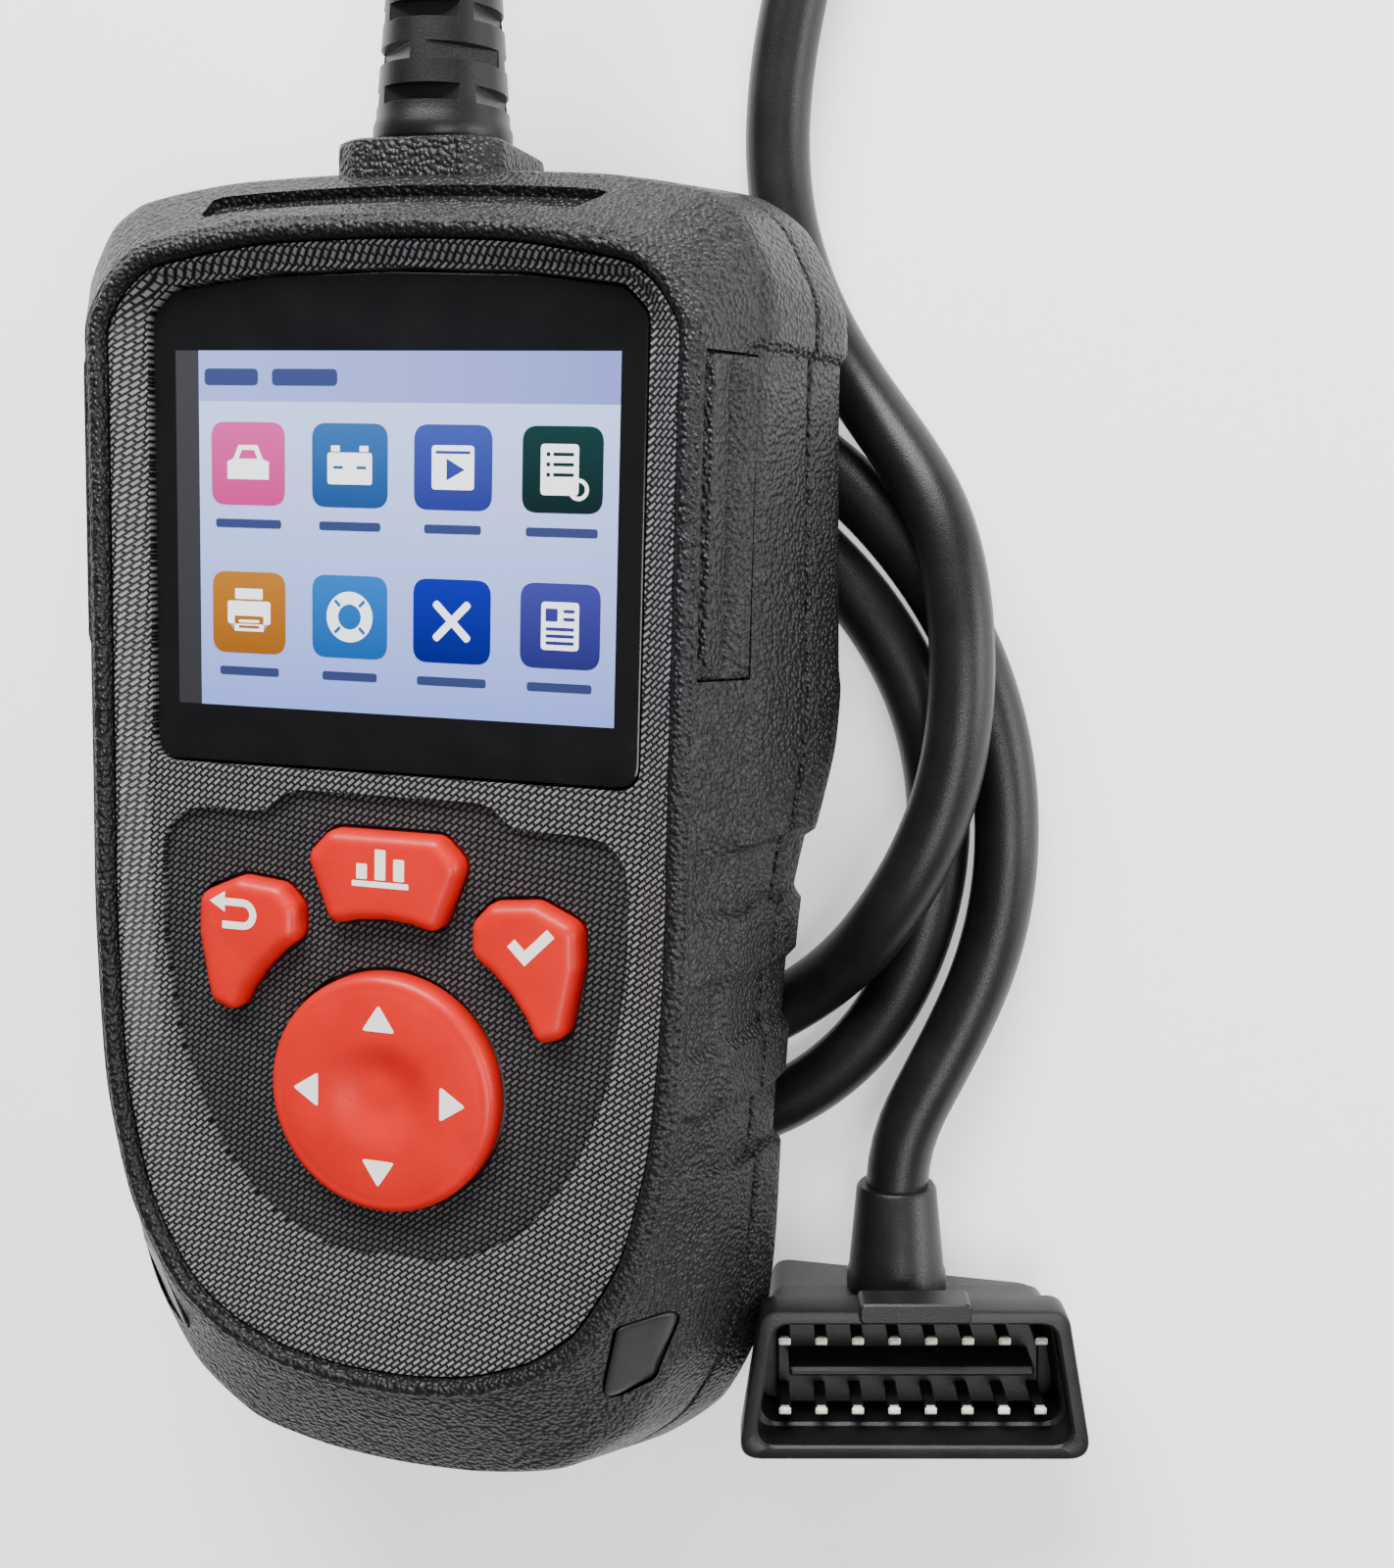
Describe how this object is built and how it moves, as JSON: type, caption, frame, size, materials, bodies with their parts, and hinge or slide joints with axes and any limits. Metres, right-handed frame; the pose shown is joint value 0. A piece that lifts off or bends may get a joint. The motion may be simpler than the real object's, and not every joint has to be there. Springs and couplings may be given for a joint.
{
  "type": "handheld car diagnostic reader",
  "caption": "Handheld vehicle fault reader lying on its looped cable: colour screen, red keys and rocker disc, and a sixteen-way D-shaped plug.",
  "frame": {"origin": "centre of the reader's own box, from the case's foot to the collar's top, without its cable", "axes": "+Z out of the screen, +Y towards the cable end, +X to the right of the screen"},
  "size_m": [0.1173, 0.2536, 0.0356],
  "materials": {
    "black_shell": "fine grained black moulding",
    "weave_black": "black with a fine printed weave of pale dashes",
    "lens_black": "polished, black round a clear picture area",
    "display": "lit colour picture under glass",
    "sheet_steel": "pressed sheet",
    "key_red": "satin red moulding",
    "mat_grey": "silicone",
    "board_green": "solder mask",
    "chip_black": "moulded epoxy",
    "pale_nylon": "natural nylon",
    "cable_black": "smooth black jacket",
    "plug_black": "black moulding",
    "plated_contact": "bright plating",
    "screw_steel": "dark plating",
    "label_grey": "blank printed film",
    "copper_orange": "polyimide film"
  },
  "bodies": {
    "housing": {"bus_transceiver": "chip_black", "buzzer": "chip_black", "cable": "cable_black", "cable_clamp": "screw_steel", "cable_collar": "black_shell", "cable_header": "pale_nylon", "capacitor_1": "sheet_steel", "capacitor_2": "sheet_steel", "case_screw_1": "screw_steel", "case_screw_2": "screw_steel", "case_screw_3": "screw_steel", "case_screw_4": "screw_steel", "contact_01": "plated_contact", "contact_02": "plated_contact", "contact_03": "plated_contact", "contact_04": "plated_contact", "contact_05": "plated_contact", "contact_06": "plated_contact", "contact_07": "plated_contact", "contact_08": "plated_contact", "contact_09": "plated_contact", "contact_10": "plated_contact", "contact_11": "plated_contact", "contact_12": "plated_contact", "contact_13": "plated_contact", "contact_14": "plated_contact", "contact_15": "plated_contact", "contact_16": "plated_contact", "contact_carrier": "plug_black", "corner_pad_left": "black_shell", "corner_pad_right": "black_shell", "display_panel": "display", "display_ribbon": "copper_orange", "display_tray": "sheet_steel", "face_plate": "weave_black", "front_shell": "black_shell", "key_mat": "mat_grey", "main_board": "board_green", "memory_chip": "chip_black", "plug_housing": "plug_black", "plug_relief": "cable_black", "power_regulator": "chip_black", "processor": "chip_black", "quartz_crystal": "sheet_steel", "rear_label": "label_grey", "rear_shell": "black_shell", "screen_window": "lens_black", "side_grip_left": "black_shell", "side_grip_right": "black_shell", "strain_relief": "cable_black"},
    "menu_key": {"menu_key": "key_red"},
    "back_key": {"back_key": "key_red"},
    "ok_key": {"ok_key": "key_red"},
    "nav_pivot": {"nav_pivot": "pale_nylon"},
    "nav_disc": {"nav_disc": "key_red"}
  },
  "joints": [
    {"name": "menu_key_press", "type": "slide", "parent": "housing", "child": "menu_key", "axis": [0, 0, -1], "range_m": [0, 0.001], "stiffness_N_per_m": 1500},
    {"name": "back_key_press", "type": "slide", "parent": "housing", "child": "back_key", "axis": [0, 0, -1], "range_m": [0, 0.001], "stiffness_N_per_m": 1500},
    {"name": "ok_key_press", "type": "slide", "parent": "housing", "child": "ok_key", "axis": [0, 0, -1], "range_m": [0, 0.001], "stiffness_N_per_m": 1500},
    {"name": "nav_rock_up_down", "type": "hinge", "parent": "housing", "child": "nav_pivot", "pos_m": [0, -0.026, 0.0086], "axis": [1, 0, 0], "range_deg": [-3, 3], "stiffness_Nm_per_rad": 0.29},
    {"name": "nav_rock_left_right", "type": "hinge", "parent": "nav_pivot", "child": "nav_disc", "pos_m": [0, -0.026, 0.0086], "axis": [0, 1, 0], "range_deg": [-3, 3], "stiffness_Nm_per_rad": 0.29}
  ]
}
